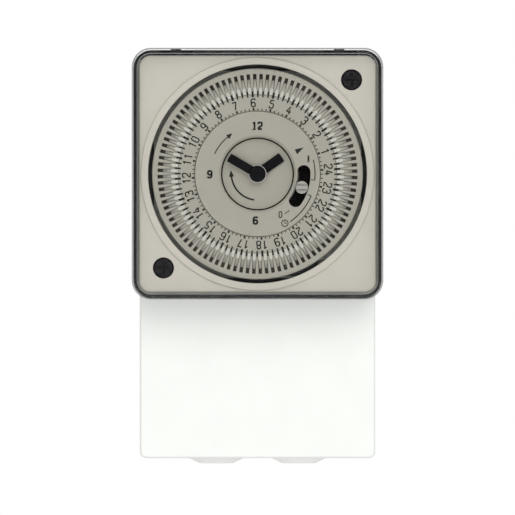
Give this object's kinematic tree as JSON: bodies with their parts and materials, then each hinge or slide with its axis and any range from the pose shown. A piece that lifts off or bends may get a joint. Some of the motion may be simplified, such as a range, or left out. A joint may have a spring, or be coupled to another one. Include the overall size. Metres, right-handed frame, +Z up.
{
  "type": "programmable timer",
  "caption": "Mechanical daily segment time switch: square dial module with captive tappets, clear cover and override lever on a wall base with a covered terminal compartment.",
  "frame": {"origin": "centre of the wall base's back face", "axes": "+X to the right seen from the front, +Y into the wall, +Z up; the dial looks along -Y"},
  "size_m": [0.072, 0.0515, 0.1198],
  "materials": {
    "white_plastic": "satin moulded",
    "grommet_grey": "matt",
    "terminal_plastic": "matt moulded",
    "brass": "machined",
    "zinc_steel": "zinc plated",
    "case_black": "matt moulded",
    "bezel_beige": "fine texture",
    "dial_beige": "satin moulded",
    "tappet_white": "satin moulded",
    "clear_polycarbonate": "polished clear",
    "hand_black": "semi-gloss",
    "screw_black": "blackened",
    "gear_nylon": "moulded nylon",
    "plate_steel": "plated sheet",
    "spring_steel": "bright strip",
    "coil_tape": "wound tape",
    "magnet_black": "sintered",
    "wire_insulation": "soft pvc",
    "switch_black": "moulded"
  },
  "bodies": {
    "base_and_module": {"wall_base": "white_plastic", "terminal_cover": "white_plastic", "cable_grommets": "grommet_grey", "terminal_block": "terminal_plastic", "terminal_pillars": "brass", "terminal_screws": "zinc_steel", "bus_bars": "brass", "module_housing": "case_black", "front_bezel": "bezel_beige", "bezel_screws": "screw_black", "cover_hinge_pins": "screw_black", "dial_retaining_ring": "gear_nylon", "centre_plate": "dial_beige", "detent_spring": "spring_steel", "rear_plate": "plate_steel", "front_plate": "gear_nylon", "plate_posts": "zinc_steel", "motor_case": "plate_steel", "motor_coil": "coil_tape", "microswitch_case": "switch_black", "microswitch_contacts": "brass", "lead_wires": "wire_insulation"},
    "front_cover": {"clear_cover": "clear_polycarbonate"},
    "dial": {"program_dial": "dial_beige"},
    "minute_train": {"minute_arbor": "gear_nylon", "minute_hand": "hand_black"},
    "hour_train": {"hour_wheel": "gear_nylon", "hour_hand": "hand_black"},
    "motion_work": {"motion_wheel": "gear_nylon"},
    "dial_drive": {"dial_drive_wheel": "gear_nylon"},
    "motor_output": {"motor_pinion": "brass"},
    "rotor": {"motor_rotor": "magnet_black"},
    "override": {"override_lever": "dial_beige"},
    "follower": {"switch_lever": "gear_nylon"},
    "plunger": {"microswitch_plunger": "gear_nylon"},
    "contact_leaf": {"microswitch_blade": "spring_steel"},
    "tappets_hour_01": {"tappets_hour_01": "tappet_white"},
    "tappets_hour_02": {"tappets_hour_02": "tappet_white"},
    "tappets_hour_03": {"tappets_hour_03": "tappet_white"},
    "tappets_hour_04": {"tappets_hour_04": "tappet_white"},
    "tappets_hour_05": {"tappets_hour_05": "tappet_white"},
    "tappets_hour_06": {"tappets_hour_06": "tappet_white"},
    "tappets_hour_07": {"tappets_hour_07": "tappet_white"},
    "tappets_hour_08": {"tappets_hour_08": "tappet_white"},
    "tappets_hour_09": {"tappets_hour_09": "tappet_white"},
    "tappets_hour_10": {"tappets_hour_10": "tappet_white"},
    "tappets_hour_11": {"tappets_hour_11": "tappet_white"},
    "tappets_hour_12": {"tappets_hour_12": "tappet_white"},
    "tappets_hour_13": {"tappets_hour_13": "tappet_white"},
    "tappets_hour_14": {"tappets_hour_14": "tappet_white"},
    "tappets_hour_15": {"tappets_hour_15": "tappet_white"},
    "tappets_hour_16": {"tappets_hour_16": "tappet_white"},
    "tappets_hour_17": {"tappets_hour_17": "tappet_white"},
    "tappets_hour_18": {"tappets_hour_18": "tappet_white"},
    "tappets_hour_19": {"tappets_hour_19": "tappet_white"},
    "tappets_hour_20": {"tappets_hour_20": "tappet_white"},
    "tappets_hour_21": {"tappets_hour_21": "tappet_white"},
    "tappets_hour_22": {"tappets_hour_22": "tappet_white"},
    "tappets_hour_23": {"tappets_hour_23": "tappet_white"},
    "tappets_hour_24": {"tappets_hour_24": "tappet_white"}
  },
  "joints": [
    {"name": "dial_turn", "type": "hinge", "parent": "base_and_module", "child": "dial", "pos_m": [0, -0.04, 0.024], "axis": [0, 1, 0], "continuous": true},
    {"name": "minute_hand_turn", "type": "hinge", "parent": "base_and_module", "child": "minute_train", "pos_m": [0, -0.032, 0.024], "axis": [0, 1, 0], "continuous": true},
    {"name": "hour_hand_turn", "type": "hinge", "parent": "base_and_module", "child": "hour_train", "pos_m": [0, -0.034, 0.024], "axis": [0, 1, 0], "continuous": true},
    {"name": "motion_wheel_turn", "type": "hinge", "parent": "base_and_module", "child": "motion_work", "pos_m": [0, -0.024, 0.012], "axis": [0, 1, 0], "continuous": true},
    {"name": "dial_drive_turn", "type": "hinge", "parent": "base_and_module", "child": "dial_drive", "pos_m": [-0.02039, -0.03, 0.01449], "axis": [0, 1, 0], "continuous": true},
    {"name": "motor_pinion_turn", "type": "hinge", "parent": "base_and_module", "child": "motor_output", "pos_m": [-0.00848, -0.02, 0.03248], "axis": [0, 1, 0], "continuous": true},
    {"name": "motor_rotor_turn", "type": "hinge", "parent": "base_and_module", "child": "rotor", "pos_m": [-0.011, -0.011, 0.028], "axis": [0, 1, 0], "continuous": true},
    {"name": "override_lever_turn", "type": "hinge", "parent": "base_and_module", "child": "override", "pos_m": [0, -0.0425, 0.024], "axis": [0, 1, 0], "range_deg": [-19, 17.5]},
    {"name": "switch_lever_turn", "type": "hinge", "parent": "base_and_module", "child": "follower", "pos_m": [0.02008, -0.0318, 0.01786], "axis": [0, 1, 0], "range_deg": [0, 2], "stiffness_Nm_per_rad": 0.0006, "springref_deg": -8.59},
    {"name": "microswitch_plunger_slide", "type": "slide", "parent": "base_and_module", "child": "plunger", "axis": [-1, 0, 0], "range_m": [0, 0.00066]},
    {"name": "microswitch_leaf_turn", "type": "hinge", "parent": "base_and_module", "child": "contact_leaf", "pos_m": [0.01565, -0.0329, -0.0042], "axis": [0, 1, 0], "range_deg": [-9.3, 0]},
    {"name": "front_cover_lift", "type": "hinge", "parent": "base_and_module", "child": "front_cover", "pos_m": [0, -0.0372, 0.0591], "axis": [-1, 0, 0], "range_deg": [0, 100]},
    {"name": "tappets_hour_01_slide", "type": "slide", "parent": "dial", "child": "tappets_hour_01", "axis": [0.9816, 0, 0.1908], "range_m": [0, 0.0012]},
    {"name": "tappets_hour_02_slide", "type": "slide", "parent": "dial", "child": "tappets_hour_02", "axis": [0.8988, 0, 0.4384], "range_m": [0, 0.0012]},
    {"name": "tappets_hour_03_slide", "type": "slide", "parent": "dial", "child": "tappets_hour_03", "axis": [0.7547, 0, 0.6561], "range_m": [0, 0.0012]},
    {"name": "tappets_hour_04_slide", "type": "slide", "parent": "dial", "child": "tappets_hour_04", "axis": [0.5592, 0, 0.829], "range_m": [0, 0.0012]},
    {"name": "tappets_hour_05_slide", "type": "slide", "parent": "dial", "child": "tappets_hour_05", "axis": [0.3256, 0, 0.9455], "range_m": [0, 0.0012]},
    {"name": "tappets_hour_06_slide", "type": "slide", "parent": "dial", "child": "tappets_hour_06", "axis": [0.0698, 0, 0.9976], "range_m": [0, 0.0012]},
    {"name": "tappets_hour_07_slide", "type": "slide", "parent": "dial", "child": "tappets_hour_07", "axis": [-0.1908, 0, 0.9816], "range_m": [0, 0.0012]},
    {"name": "tappets_hour_08_slide", "type": "slide", "parent": "dial", "child": "tappets_hour_08", "axis": [-0.4384, 0, 0.8988], "range_m": [0, 0.0012]},
    {"name": "tappets_hour_09_slide", "type": "slide", "parent": "dial", "child": "tappets_hour_09", "axis": [-0.6561, 0, 0.7547], "range_m": [0, 0.0012]},
    {"name": "tappets_hour_10_slide", "type": "slide", "parent": "dial", "child": "tappets_hour_10", "axis": [-0.829, 0, 0.5592], "range_m": [0, 0.0012]},
    {"name": "tappets_hour_11_slide", "type": "slide", "parent": "dial", "child": "tappets_hour_11", "axis": [-0.9455, 0, 0.3256], "range_m": [0, 0.0012]},
    {"name": "tappets_hour_12_slide", "type": "slide", "parent": "dial", "child": "tappets_hour_12", "axis": [-0.9976, 0, 0.0698], "range_m": [0, 0.0012]},
    {"name": "tappets_hour_13_slide", "type": "slide", "parent": "dial", "child": "tappets_hour_13", "axis": [-0.9816, 0, -0.1908], "range_m": [0, 0.0012]},
    {"name": "tappets_hour_14_slide", "type": "slide", "parent": "dial", "child": "tappets_hour_14", "axis": [-0.8988, 0, -0.4384], "range_m": [0, 0.0012]},
    {"name": "tappets_hour_15_slide", "type": "slide", "parent": "dial", "child": "tappets_hour_15", "axis": [-0.7547, 0, -0.6561], "range_m": [0, 0.0012]},
    {"name": "tappets_hour_16_slide", "type": "slide", "parent": "dial", "child": "tappets_hour_16", "axis": [-0.5592, 0, -0.829], "range_m": [0, 0.0012]},
    {"name": "tappets_hour_17_slide", "type": "slide", "parent": "dial", "child": "tappets_hour_17", "axis": [-0.3256, 0, -0.9455], "range_m": [0, 0.0012]},
    {"name": "tappets_hour_18_slide", "type": "slide", "parent": "dial", "child": "tappets_hour_18", "axis": [-0.0698, 0, -0.9976], "range_m": [0, 0.0012]},
    {"name": "tappets_hour_19_slide", "type": "slide", "parent": "dial", "child": "tappets_hour_19", "axis": [0.1908, 0, -0.9816], "range_m": [0, 0.0012]},
    {"name": "tappets_hour_20_slide", "type": "slide", "parent": "dial", "child": "tappets_hour_20", "axis": [0.4384, 0, -0.8988], "range_m": [0, 0.0012]},
    {"name": "tappets_hour_21_slide", "type": "slide", "parent": "dial", "child": "tappets_hour_21", "axis": [0.6561, 0, -0.7547], "range_m": [0, 0.0012]},
    {"name": "tappets_hour_22_slide", "type": "slide", "parent": "dial", "child": "tappets_hour_22", "axis": [0.829, 0, -0.5592], "range_m": [0, 0.0012]},
    {"name": "tappets_hour_23_slide", "type": "slide", "parent": "dial", "child": "tappets_hour_23", "axis": [0.9455, 0, -0.3256], "range_m": [0, 0.0012]},
    {"name": "tappets_hour_24_slide", "type": "slide", "parent": "dial", "child": "tappets_hour_24", "axis": [0.9976, 0, -0.0698], "range_m": [0, 0.0012]}
  ],
  "couplings": [
    {"joint": "minute_hand_turn", "follows": "dial_turn", "ratio": 24},
    {"joint": "hour_hand_turn", "follows": "dial_turn", "ratio": 2},
    {"joint": "motion_wheel_turn", "follows": "dial_turn", "ratio": -8},
    {"joint": "dial_drive_turn", "follows": "dial_turn", "ratio": -4},
    {"joint": "motor_pinion_turn", "follows": "dial_turn", "ratio": -72},
    {"joint": "microswitch_plunger_slide", "follows": "switch_lever_turn", "m_per_rad": 0.01786},
    {"joint": "microswitch_leaf_turn", "follows": "switch_lever_turn", "ratio": -4.2524}
  ]
}
